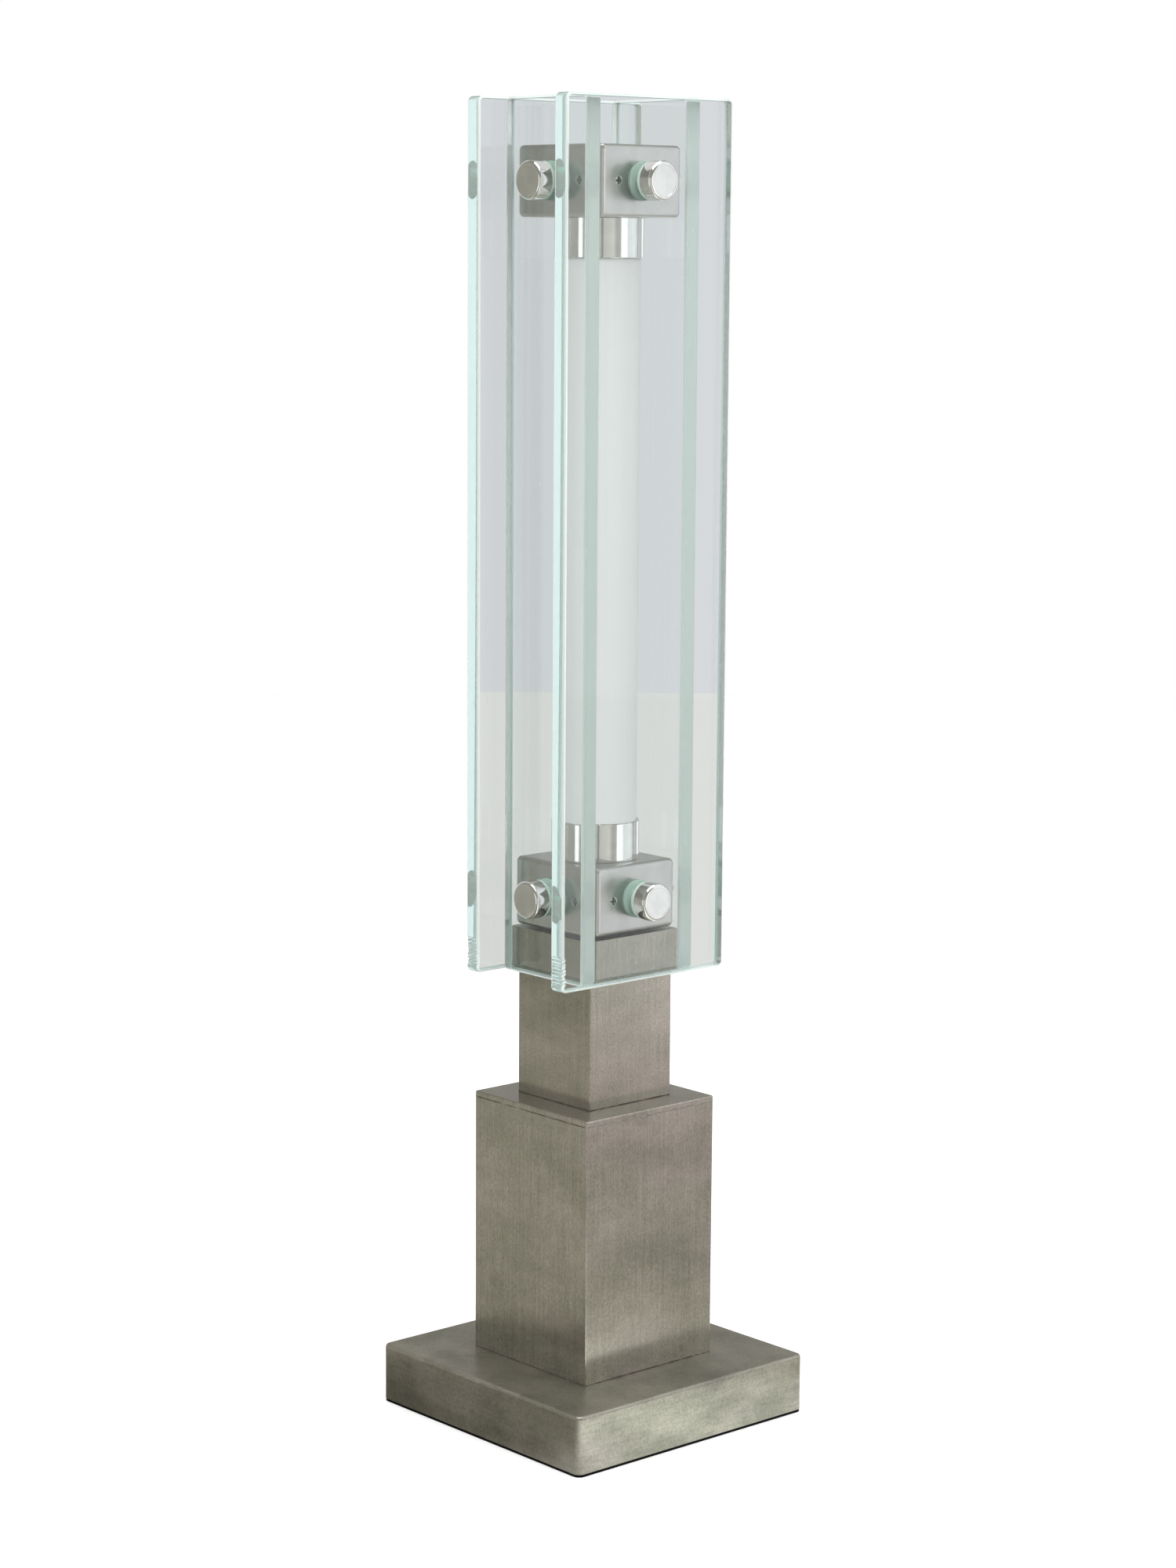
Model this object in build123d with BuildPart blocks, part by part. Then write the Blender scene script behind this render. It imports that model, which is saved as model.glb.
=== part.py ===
from build123d import *
import os
from math import cos, radians, sin

# Table lamp, in millimetres. +Z is up and the origin is the centre of the pad's underside.
# +X is called right, -X left, -Y front and +Y rear.

# ---- foot ----
pad_side = 166
pad_thickness = 1.6
base_side = 168
base_top = 33.5
base_wall = 2.5
base_corner_radius = 4
base_edge_radius = 2
cover_side = 162.4
cover_thickness = 1.5
weight_half_width = 76
weight_front = -76
weight_rear = 46
weight_bottom = 9
weight_leg_radius = 7
weight_leg_inset = 10
weight_pocket_radius = 22
weight_pocket_roof = 4
channel_width = 10
channel_height = 8

# ---- pedestal and post ----
pedestal_side = 94
pedestal_top = 181.4
pedestal_wall = 3
pedestal_plate = 3
post_side = 60
post_top = 276.4
post_wall = 2.5
locating_plate = 4
tube_edge_radius = 0.8

# ---- threaded pipe that clamps the stack ----
pipe_radius = 5
pipe_bore_radius = 3.5
pipe_hole_radius = 5.1
pipe_bottom = 20
pipe_top = 328
pipe_nut_flats = 14
pipe_nut_height = 4
washer_thickness = 1.5
bottom_washer_radius = 12
top_washer_radius = 10

# ---- blocks ----
spacer_radius = 22
spacer_thickness = 1.2
block_side = 57.4
block_height = 38
block_wall = 3
block_edge_radius = 2.8
hole_spacing = 385.2

# ---- glass plates ----
glass_thickness = 10
gasket_thickness = 1.8
wide_pane = 118
pane_gap = 0.2
pane_hole_inset = 44.2
pane_corner_radius = 3
pane_arris = 1.2
pane_hole_radius = 6

# ---- stand-offs ----
stud_radius = 3
stud_inner_end = 14
stud_grip = 5.8
thread_clearance = 0.05
pass_clearance = 0.1
sleeve_radius = 5.9
cap_radius = 10.5
cap_length = 8.8
cap_rim_radius = 1.9
cap_bore_depth = 6
soft_washer_radius = 10.4
cap_washer_thickness = 2

# ---- small countersunk screws ----
screw_offset = 16.5
screw_radius = 1.5
screw_head_radius = 2.65
screw_length = 8
recess_length = 3.4
recess_width = 0.7
recess_depth = 0.9
cover_screw_radius = 2
cover_screw_head_radius = 3.5
cover_screw_length = 11.4

# ---- light ----
ferrule_radius = 20.75
ferrule_bore_radius = 19.2
ferrule_height = 21.4
ferrule_chamfer = 0.4
diffuser_radius = 19
diffuser_wall = 2
seal_thickness = 2
seal_radius = 19.1
seal_bore_radius = 16.5
holder_radius = 13
holder_height = 46
holder_bore_radius = 8.5
holder_floor = 15.2
holder_edge_radius = 1
holder_socket_depth = 8
contact_radius = 5
contact_thickness = 1.2
bulb_cap_radius = 6.9
bulb_cap_height = 24
bulb_cap_wall = 0.6
bulb_radius = 12.5
bulb_neck_radius = 6.2
bulb_wall = 0.9
bulb_top = 640
bulb_shoulder = 372

# ---- cord entry at the rear ----
entry_height = 16
gland_radius = 5
gland_flange_radius = 8
gland_flange = 3.5
gland_length = 13
gland_bore_radius = 3.3
gland_edge_radius = 1.2
gland_nut_flats = 14
gland_nut_height = 3

# ---- toggle switch at the rear ----
switch_x = 42
switch_width = 15
switch_height = 17
switch_depth = 21
switch_edge_radius = 1
bushing_radius = 5.9
bushing_bore_radius = 3.8
bushing_reach = 8
bushing_chamfer = 0.6
switch_nut_flats = 14
switch_nut_height = 2.4
pivot_reach = 4.5
lever_ball_radius = 3.3
lever_neck_radius = 1.6
lever_tip_radius = 2.8
lever_length = 19
lever_tilt = 14
lever_pin_radius = 0.75
lever_pin_length = 11

# ---- lead from the switch to the lampholder ----
lead_radius = 2.2
lead_height = 8
lead_bend_radii = [8, 8, 10]
lead_to_weight = 4.5
terminal_drop = 5

# ---- heights and distances that follow ----
base_bottom = pad_thickness
base_rear = base_side / 2
base_rear_inside = base_rear - base_wall
cavity_roof = base_top - base_wall
cover_top = pad_thickness + cover_thickness
pocket_top = cavity_roof - weight_pocket_roof
lower_block_bottom = post_top + spacer_thickness
lower_hole = lower_block_bottom + block_height / 2
upper_hole = lower_hole + hole_spacing
lower_block_top = lower_block_bottom + block_height
upper_block_bottom = upper_hole - block_height / 2
upper_block_top = upper_block_bottom + block_height
pane_bottom = lower_hole - pane_hole_inset
pane_height = hole_spacing + 2 * pane_hole_inset
block_face = block_side / 2
glass_inside = block_face + gasket_thickness
glass_outside = glass_inside + glass_thickness
cap_foot = glass_outside + cap_washer_thickness
cavity_side = block_side - 2 * block_wall
narrow_pane = 2 * (glass_inside - pane_gap)
nut_bottom = lower_block_top + washer_thickness
holder_bottom = nut_bottom + pipe_nut_height
holder_top = holder_bottom + holder_height
contact_bottom = holder_bottom + holder_floor
bulb_cap_bottom = contact_bottom + contact_thickness
pivot_y = base_rear + pivot_reach

sides = {"right": 0, "rear": 90, "left": 180, "front": 270}
levels = {"lower": lower_hole, "upper": upper_hole}

os.makedirs("parts", exist_ok=True)


def save(part, name):
    """Labels a finished piece and writes it under its own name."""
    part.label = name
    export_step(part, f"parts/{name}.step")


def face_plane(angle, height):
    """Plane through the lamp's axis whose normal points out of one side of the head."""
    outward = (cos(radians(angle)), sin(radians(angle)), 0)
    along = (-sin(radians(angle)), cos(radians(angle)), 0)
    return Plane(origin=(0, 0, height), x_dir=along, z_dir=outward)


def rear_plane(x, y):
    """Plane parallel to the rear wall of the foot, with its normal pointing rearwards."""
    return Plane(origin=(x, y, entry_height), x_dir=(1, 0, 0), z_dir=(0, 1, 0))


# ---------------------------------------------------------------- foot

with BuildPart() as base_pad:
    with BuildSketch():
        RectangleRounded(pad_side, pad_side, base_corner_radius)
    extrude(amount=pad_thickness)
save(base_pad.part, "base_pad")

weight_mid = (weight_front + weight_rear) / 2
leg_spacing_x = 2 * (weight_half_width - weight_leg_inset)
leg_spacing_y = weight_rear - weight_front - 2 * weight_leg_inset

with BuildPart() as bottom_cover:
    with BuildSketch(Plane.XY.offset(pad_thickness)):
        RectangleRounded(cover_side, cover_side, base_edge_radius)
    extrude(amount=cover_thickness)
    with Locations((0, weight_mid, pad_thickness)):
        with GridLocations(leg_spacing_x, leg_spacing_y, 2, 2):
            Cone(cover_screw_head_radius, cover_screw_radius, cover_thickness,
                 align=(Align.CENTER, Align.CENTER, Align.MIN), mode=Mode.SUBTRACT)
save(bottom_cover.part, "bottom_cover")

with BuildPart() as cover_screws:
    with Locations((0, weight_mid, pad_thickness)):
        with GridLocations(leg_spacing_x, leg_spacing_y, 2, 2):
            Cone(cover_screw_head_radius, cover_screw_radius, cover_thickness,
                 align=(Align.CENTER, Align.CENTER, Align.MIN))
    with BuildSketch(Plane.XY.offset(cover_top)):
        with Locations((0, weight_mid)):
            with GridLocations(leg_spacing_x, leg_spacing_y, 2, 2):
                Circle(cover_screw_radius)
    extrude(amount=cover_screw_length - cover_thickness)
save(cover_screws.part, "cover_screws")

with BuildPart() as base_shell:
    with BuildSketch(Plane.XY.offset(base_bottom)):
        RectangleRounded(base_side, base_side, base_corner_radius)
    extrude(amount=base_top - base_bottom)
    fillet(base_shell.faces().sort_by(Axis.Z)[-1].edges(), base_edge_radius)
    with BuildSketch(Plane.XY.offset(base_bottom)):
        cavity = base_side - 2 * base_wall
        RectangleRounded(cavity, cavity, base_corner_radius - base_wall)
    extrude(amount=cavity_roof - base_bottom, mode=Mode.SUBTRACT)
    with BuildSketch(Plane.XY.offset(cavity_roof)):
        Circle(pipe_hole_radius)
    extrude(amount=base_wall, mode=Mode.SUBTRACT)
    with BuildSketch(rear_plane(0, base_rear_inside)):
        Circle(gland_radius)
    extrude(amount=base_wall, mode=Mode.SUBTRACT)
    with BuildSketch(rear_plane(switch_x, base_rear_inside)):
        Circle(bushing_radius)
    extrude(amount=base_wall, mode=Mode.SUBTRACT)
save(base_shell.part, "base_shell")

with BuildPart() as base_weight:
    with BuildSketch(Plane.XY.offset(weight_bottom)):
        with Locations((0, weight_mid)):
            Rectangle(2 * weight_half_width, weight_rear - weight_front)
    extrude(amount=cavity_roof - weight_bottom)
    with BuildSketch(Plane.XY.offset(cover_top)):
        with Locations((0, weight_mid)):
            with GridLocations(leg_spacing_x, leg_spacing_y, 2, 2):
                Circle(weight_leg_radius)
    extrude(amount=weight_bottom - cover_top)
    with BuildSketch(Plane.XY.offset(weight_bottom)):
        Circle(weight_pocket_radius)
    extrude(amount=pocket_top - weight_bottom, mode=Mode.SUBTRACT)
    with BuildSketch(Plane.XY.offset(weight_bottom)):
        with Locations((0, weight_rear / 2)):
            Rectangle(channel_width, weight_rear)
    extrude(amount=channel_height, mode=Mode.SUBTRACT)
    with BuildSketch(Plane.XY.offset(pocket_top)):
        Circle(pipe_hole_radius)
    extrude(amount=weight_pocket_roof, mode=Mode.SUBTRACT)
    with BuildSketch(Plane.XY.offset(cover_top)):
        with Locations((0, weight_mid)):
            with GridLocations(leg_spacing_x, leg_spacing_y, 2, 2):
                Circle(cover_screw_radius + thread_clearance)
    extrude(amount=cover_screw_length, mode=Mode.SUBTRACT)
save(base_weight.part, "base_weight")

# ---------------------------------------------------------------- pipe, nuts and washers

with BuildPart() as lamp_pipe:
    with BuildSketch(Plane.XY.offset(pipe_bottom)):
        Circle(pipe_radius)
        Circle(pipe_bore_radius, mode=Mode.SUBTRACT)
    extrude(amount=pipe_top - pipe_bottom)
save(lamp_pipe.part, "lamp_pipe")

pipe_washers = {
    "pipe_bottom_washer": (pocket_top - washer_thickness, bottom_washer_radius),
    "pipe_top_washer": (lower_block_top, top_washer_radius),
}
for name, (height, radius) in pipe_washers.items():
    with BuildPart() as washer:
        with BuildSketch(Plane.XY.offset(height)):
            Circle(radius)
            Circle(pipe_hole_radius, mode=Mode.SUBTRACT)
        extrude(amount=washer_thickness)
    save(washer.part, name)

pipe_nuts = {
    "pipe_bottom_nut": pocket_top - washer_thickness - pipe_nut_height,
    "pipe_top_nut": nut_bottom,
}
for name, height in pipe_nuts.items():
    with BuildPart() as nut:
        with BuildSketch(Plane.XY.offset(height)):
            RegularPolygon(pipe_nut_flats / 2, 6, major_radius=False)
            Circle(pipe_radius + thread_clearance, mode=Mode.SUBTRACT)
        extrude(amount=pipe_nut_height)
    save(nut.part, name)

# ---------------------------------------------------------------- pedestal and post


def square_tube(side, wall, bottom, top):
    """Square tube standing on one height and ending at another, with softened outer corners."""
    with BuildPart() as tube:
        with BuildSketch(Plane.XY.offset(bottom)):
            RectangleRounded(side, side, tube_edge_radius)
            Rectangle(side - 2 * wall, side - 2 * wall, mode=Mode.SUBTRACT)
        extrude(amount=top - bottom)
    return tube.part


def square_plate(side, bottom, thickness):
    """Square plate with the pipe's hole in its middle."""
    with BuildPart() as plate:
        with BuildSketch(Plane.XY.offset(bottom)):
            Rectangle(side, side)
            Circle(pipe_hole_radius, mode=Mode.SUBTRACT)
        extrude(amount=thickness)
    return plate.part


pedestal_inside = pedestal_side - 2 * pedestal_wall
post_inside = post_side - 2 * post_wall
plate_bottom = pedestal_top - pedestal_plate

save(square_tube(pedestal_side, pedestal_wall, base_top, plate_bottom), "pedestal_tube")
save(square_plate(pedestal_inside, base_top, locating_plate), "pedestal_foot_plate")
save(square_tube(post_side, post_wall, pedestal_top, post_top), "post_tube")
save(square_plate(post_inside, pedestal_top, locating_plate), "post_foot_plate")
save(square_plate(post_inside, post_top - locating_plate, locating_plate), "post_top_plate")

with BuildPart() as pedestal_top_plate:
    with BuildSketch(Plane.XY.offset(plate_bottom)):
        RectangleRounded(pedestal_side, pedestal_side, tube_edge_radius)
        Circle(pipe_hole_radius, mode=Mode.SUBTRACT)
    extrude(amount=pedestal_plate)
    top_rim = pedestal_top_plate.faces().sort_by(Axis.Z)[-1].outer_wire().edges()
    fillet(top_rim, tube_edge_radius)
save(pedestal_top_plate.part, "pedestal_top_plate")

with BuildPart() as block_spacer:
    with BuildSketch(Plane.XY.offset(post_top)):
        Circle(spacer_radius)
        Circle(pipe_hole_radius, mode=Mode.SUBTRACT)
    extrude(amount=spacer_thickness)
save(block_spacer.part, "block_spacer")

# ---------------------------------------------------------------- blocks


def block_shell(bottom, hole_height, cavity_bottom, pipe_passes):
    """Rounded square shell, closed by a wall on one side and open on the other."""
    with BuildPart() as shell:
        with BuildSketch(Plane.XY.offset(bottom)):
            Rectangle(block_side, block_side)
        extrude(amount=block_height)
        fillet(shell.edges(), block_edge_radius)
        with BuildSketch(Plane.XY.offset(cavity_bottom)):
            Rectangle(cavity_side, cavity_side)
        extrude(amount=block_height - block_wall, mode=Mode.SUBTRACT)
        for angle in sides.values():
            face = face_plane(angle, hole_height)
            with BuildSketch(face.offset(block_face - block_wall)):
                Circle(stud_radius + pass_clearance)
                with Locations((-screw_offset, 0), (screw_offset, 0)):
                    Circle(screw_radius + pass_clearance)
            extrude(amount=block_wall, mode=Mode.SUBTRACT)
            with Locations(face.offset(block_face)):
                with Locations((-screw_offset, 0), (screw_offset, 0)):
                    Cone(screw_radius, screw_head_radius, screw_head_radius - screw_radius,
                         align=(Align.CENTER, Align.CENTER, Align.MAX), mode=Mode.SUBTRACT)
        if pipe_passes:
            with BuildSketch(Plane.XY.offset(bottom)):
                Circle(pipe_hole_radius)
            extrude(amount=block_height, mode=Mode.SUBTRACT)
    return shell.part


def block_core(bottom, hole_height, pipe_passes):
    """Solid core tapped from four sides for the studs and the small screws."""
    with BuildPart() as core:
        with BuildSketch(Plane.XY.offset(bottom)):
            Rectangle(cavity_side, cavity_side)
        extrude(amount=block_height - 2 * block_wall)
        for angle in sides.values():
            face = face_plane(angle, hole_height)
            with BuildSketch(face.offset(stud_inner_end)):
                Circle(stud_radius + thread_clearance)
            extrude(amount=block_face - stud_inner_end, mode=Mode.SUBTRACT)
            with BuildSketch(face.offset(block_face - screw_length)):
                with Locations((-screw_offset, 0), (screw_offset, 0)):
                    Circle(screw_radius + thread_clearance)
            extrude(amount=screw_length, mode=Mode.SUBTRACT)
        if pipe_passes:
            with BuildSketch(Plane.XY.offset(bottom)):
                Circle(pipe_hole_radius)
            extrude(amount=block_height, mode=Mode.SUBTRACT)
    return core.part


save(block_shell(lower_block_bottom, lower_hole, lower_block_bottom, True), "lower_block")
save(block_core(lower_block_bottom + block_wall, lower_hole, True), "lower_core")
save(square_plate(cavity_side, lower_block_bottom, block_wall), "lower_block_plate")
save(block_shell(upper_block_bottom, upper_hole, upper_block_bottom + block_wall, False), "upper_block")
save(block_core(upper_block_bottom + block_wall, upper_hole, False), "upper_core")

with BuildPart() as upper_block_lid:
    with BuildSketch(Plane.XY.offset(upper_block_top - block_wall)):
        Rectangle(cavity_side, cavity_side)
    extrude(amount=block_wall)
save(upper_block_lid.part, "upper_block_lid")

for level, hole_height in levels.items():
    with BuildPart() as block_screws:
        for angle in sides.values():
            face = face_plane(angle, hole_height)
            with BuildSketch(face.offset(block_face - screw_length)):
                with Locations((-screw_offset, 0), (screw_offset, 0)):
                    Circle(screw_radius)
            extrude(amount=screw_length)
            with Locations(face.offset(block_face)):
                with Locations((-screw_offset, 0), (screw_offset, 0)):
                    Cone(screw_radius, screw_head_radius, screw_head_radius - screw_radius,
                         align=(Align.CENTER, Align.CENTER, Align.MAX))
            with BuildSketch(face.offset(block_face - recess_depth)):
                with Locations((-screw_offset, 0), (screw_offset, 0)):
                    Rectangle(recess_length, recess_width)
                    Rectangle(recess_width, recess_length)
            extrude(amount=recess_depth, mode=Mode.SUBTRACT)
    save(block_screws.part, f"{level}_block_screws")

# ---------------------------------------------------------------- glass plates

for side, angle in sides.items():
    width = wide_pane if side in ("right", "left") else narrow_pane
    with BuildPart() as pane:
        with BuildSketch(face_plane(angle, pane_bottom + pane_height / 2).offset(glass_inside)):
            RectangleRounded(width, pane_height, pane_corner_radius)
        extrude(amount=glass_thickness)
        inner, outer = pane.faces().filter_by(GeomType.PLANE).sort_by(SortBy.AREA)[-2:]
        chamfer(inner.edges() + outer.edges(), pane_arris)
        for hole_height in levels.values():
            with BuildSketch(face_plane(angle, hole_height).offset(glass_inside)):
                Circle(pane_hole_radius)
            extrude(amount=glass_thickness, mode=Mode.SUBTRACT)
    save(pane.part, f"pane_{side}")

# ---------------------------------------------------------------- stand-offs

for side, angle in sides.items():
    for level, hole_height in levels.items():
        face = face_plane(angle, hole_height)
        with BuildPart() as cap:
            with BuildSketch(face.offset(cap_foot)):
                Circle(cap_radius)
            extrude(amount=cap_length)
            outer_face = cap.faces().sort_by_distance(face.offset(cap_foot + cap_length).origin)[0]
            fillet(outer_face.edges(), cap_rim_radius)
            with BuildSketch(face.offset(cap_foot)):
                Circle(stud_radius + thread_clearance)
            extrude(amount=cap_bore_depth, mode=Mode.SUBTRACT)
        save(cap.part, f"cap_{side}_{level}")


def ring_group(name, start, length, outer_radius, inner_radius):
    """The same ring or rod on all eight stand-off axes, as separate solids."""
    with BuildPart() as group:
        for angle in sides.values():
            for hole_height in levels.values():
                with BuildSketch(face_plane(angle, hole_height).offset(start)):
                    Circle(outer_radius)
                    if inner_radius:
                        Circle(inner_radius, mode=Mode.SUBTRACT)
                extrude(amount=length)
    save(group.part, name)


stud_hole = stud_radius + pass_clearance
ring_group("pane_gaskets", block_face, gasket_thickness, soft_washer_radius, stud_hole)
ring_group("pane_sleeves", glass_inside, glass_thickness, sleeve_radius, stud_hole)
ring_group("cap_washers", glass_outside, cap_washer_thickness, soft_washer_radius, stud_hole)
ring_group("standoff_studs", stud_inner_end, cap_foot + stud_grip - stud_inner_end, stud_radius, 0)

# ---------------------------------------------------------------- frosted tube and its ferrules

diffuser_bottom = lower_block_top + seal_thickness
diffuser_top = upper_block_bottom - seal_thickness

ferrule_bottoms = {
    "lower_ferrule": lower_block_top,
    "upper_ferrule": upper_block_bottom - ferrule_height,
}
for name, height in ferrule_bottoms.items():
    with BuildPart() as ferrule:
        with BuildSketch(Plane.XY.offset(height)):
            Circle(ferrule_radius)
            Circle(ferrule_bore_radius, mode=Mode.SUBTRACT)
        extrude(amount=ferrule_height)
        outer_rims = ferrule.edges().filter_by(GeomType.CIRCLE).sort_by(SortBy.RADIUS)[-2:]
        chamfer(outer_rims, ferrule_chamfer)
    save(ferrule.part, name)

with BuildPart() as diffuser_tube:
    with BuildSketch(Plane.XY.offset(diffuser_bottom)):
        Circle(diffuser_radius)
        Circle(diffuser_radius - diffuser_wall, mode=Mode.SUBTRACT)
    extrude(amount=diffuser_top - diffuser_bottom)
save(diffuser_tube.part, "diffuser_tube")

seal_bottoms = {"lower_tube_seal": lower_block_top, "upper_tube_seal": diffuser_top}
for name, height in seal_bottoms.items():
    with BuildPart() as seal:
        with BuildSketch(Plane.XY.offset(height)):
            Circle(seal_radius)
            Circle(seal_bore_radius, mode=Mode.SUBTRACT)
        extrude(amount=seal_thickness)
    save(seal.part, name)

# ---------------------------------------------------------------- lampholder and bulb

with BuildPart() as lampholder:
    with BuildSketch(Plane.XY.offset(holder_bottom)):
        Circle(holder_radius)
    extrude(amount=holder_height)
    fillet(lampholder.edges(), holder_edge_radius)
    with BuildSketch(Plane.XY.offset(holder_bottom)):
        Circle(pipe_radius + thread_clearance)
    extrude(amount=holder_socket_depth, mode=Mode.SUBTRACT)
    with BuildSketch(Plane.XY.offset(holder_bottom)):
        Circle(pipe_bore_radius)
    extrude(amount=holder_floor, mode=Mode.SUBTRACT)
    with BuildSketch(Plane.XY.offset(contact_bottom)):
        Circle(holder_bore_radius)
    extrude(amount=holder_height, mode=Mode.SUBTRACT)
save(lampholder.part, "lampholder")

with BuildPart() as holder_contact:
    with BuildSketch(Plane.XY.offset(contact_bottom)):
        Circle(contact_radius)
    extrude(amount=contact_thickness)
save(holder_contact.part, "holder_contact")

with BuildPart() as bulb_screw_cap:
    with BuildSketch(Plane.XY.offset(bulb_cap_bottom)):
        Circle(bulb_cap_radius)
    extrude(amount=bulb_cap_height)
    with BuildSketch(Plane.XY.offset(bulb_cap_bottom + bulb_cap_wall)):
        Circle(bulb_cap_radius - bulb_cap_wall)
    extrude(amount=bulb_cap_height, mode=Mode.SUBTRACT)
save(bulb_screw_cap.part, "bulb_cap")

with BuildPart() as bulb_glass:
    neck_bottom = bulb_cap_bottom + bulb_cap_height / 2
    dome_start = bulb_top - bulb_radius
    inside_radius = bulb_radius - bulb_wall
    inside_neck_radius = bulb_neck_radius - bulb_wall
    with BuildSketch(Plane.XZ):
        with BuildLine():
            Polyline((bulb_neck_radius, neck_bottom), (bulb_neck_radius, holder_top),
                     (bulb_radius, bulb_shoulder), (bulb_radius, dome_start))
            CenterArc((0, dome_start), bulb_radius, 0, 90)
            Line((0, bulb_top), (0, bulb_top - bulb_wall))
            CenterArc((0, dome_start), inside_radius, 0, 90)
            Polyline((inside_radius, dome_start), (inside_radius, bulb_shoulder),
                     (inside_neck_radius, holder_top), (inside_neck_radius, neck_bottom),
                     (bulb_neck_radius, neck_bottom))
        make_face()
    revolve(axis=Axis.Z)
save(bulb_glass.part, "bulb_glass")

# ---------------------------------------------------------------- cord entry

gland_start = base_rear + gland_flange - gland_length
with BuildPart() as cord_gland:
    with BuildSketch(rear_plane(0, gland_start)):
        Circle(gland_radius)
    extrude(amount=gland_length - gland_flange)
    with BuildSketch(rear_plane(0, base_rear)):
        Circle(gland_flange_radius)
    extrude(amount=gland_flange)
    outer_face = cord_gland.faces().sort_by(Axis.Y)[-1]
    fillet(outer_face.edges(), gland_edge_radius)
    with BuildSketch(rear_plane(0, gland_start)):
        Circle(gland_bore_radius)
    extrude(amount=gland_length, mode=Mode.SUBTRACT)
save(cord_gland.part, "cord_gland")

with BuildPart() as gland_nut:
    with BuildSketch(rear_plane(0, base_rear_inside - gland_nut_height)):
        RegularPolygon(gland_nut_flats / 2, 6, major_radius=False)
        Circle(gland_radius + thread_clearance, mode=Mode.SUBTRACT)
    extrude(amount=gland_nut_height)
save(gland_nut.part, "gland_nut")

# ---------------------------------------------------------------- toggle switch

with BuildPart() as switch_body:
    with BuildSketch(rear_plane(switch_x, base_rear_inside - switch_depth)):
        Rectangle(switch_width, switch_height)
    extrude(amount=switch_depth)
    fillet(switch_body.edges().filter_by(Axis.Y), switch_edge_radius)
save(switch_body.part, "switch_body")

pin_plane = Plane(origin=(switch_x, pivot_y, entry_height), x_dir=(0, 1, 0), z_dir=(1, 0, 0))
with BuildPart() as switch_bushing:
    with BuildSketch(rear_plane(switch_x, base_rear_inside)):
        Circle(bushing_radius)
        Circle(bushing_bore_radius, mode=Mode.SUBTRACT)
    extrude(amount=base_wall + bushing_reach)
    mouth = switch_bushing.faces().sort_by(Axis.Y)[-1]
    chamfer(mouth.edges(), bushing_chamfer)
    with BuildSketch(pin_plane):
        Circle(lever_pin_radius)
    extrude(amount=lever_pin_length / 2, both=True, mode=Mode.SUBTRACT)
save(switch_bushing.part, "switch_bushing")

with BuildPart() as switch_nut:
    with BuildSketch(rear_plane(switch_x, base_rear)):
        RegularPolygon(switch_nut_flats / 2, 6, major_radius=False)
        Circle(bushing_radius + thread_clearance, mode=Mode.SUBTRACT)
    extrude(amount=switch_nut_height)
save(switch_nut.part, "switch_nut")

with BuildPart() as toggle_pin:
    with BuildSketch(pin_plane):
        Circle(lever_pin_radius)
    extrude(amount=lever_pin_length / 2, both=True)
save(toggle_pin.part, "toggle_pin")

# The lever is drawn along its own length and rests tilted down from the rear plane's normal.
lever_axis = (0, cos(radians(lever_tilt)), -sin(radians(lever_tilt)))
lever_across = (0, sin(radians(lever_tilt)), cos(radians(lever_tilt)))
lever_plane = Plane(origin=(switch_x, pivot_y, entry_height), x_dir=lever_across,
                    z_dir=(Vector(lever_across).cross(Vector(lever_axis))))
with BuildPart() as toggle_lever:
    with BuildSketch(lever_plane):
        with BuildLine():
            Line((0, -lever_ball_radius), (0, lever_length))
            tip_centre = lever_length - lever_tip_radius
            CenterArc((0, tip_centre), lever_tip_radius, 0, 90)
            Line((lever_tip_radius, tip_centre), (lever_neck_radius, lever_ball_radius))
            Line((lever_neck_radius, lever_ball_radius), (lever_neck_radius, 0))
            Line((lever_neck_radius, 0), (0, -lever_ball_radius))
        make_face()
    revolve(axis=Axis(lever_plane.origin, lever_plane.y_dir))
    with Locations(lever_plane):
        Sphere(lever_ball_radius)
    with BuildSketch(pin_plane):
        Circle(lever_pin_radius + thread_clearance)
    extrude(amount=lever_pin_length / 2, both=True, mode=Mode.SUBTRACT)
save(toggle_lever.part, "toggle_lever")

# ---------------------------------------------------------------- lead inside the foot and the pipe

switch_inner_face = base_rear_inside - switch_depth
lead_run_y = weight_rear + lead_to_weight
terminal_height = entry_height - terminal_drop
with BuildPart() as lamp_lead:
    with BuildLine() as route:
        FilletPolyline((switch_x, switch_inner_face, terminal_height),
                       (switch_x, lead_run_y, terminal_height),
                       (0, lead_run_y, lead_height),
                       (0, 0, lead_height),
                       (0, 0, contact_bottom),
                       radius=lead_bend_radii)
    with BuildSketch(Plane(origin=route.line @ 0, z_dir=route.line % 0)):
        Circle(lead_radius)
    sweep()
save(lamp_lead.part, "lamp_lead")
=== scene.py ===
from math import cos, pi, radians, sin

import bmesh
import bpy
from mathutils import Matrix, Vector, noise


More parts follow.
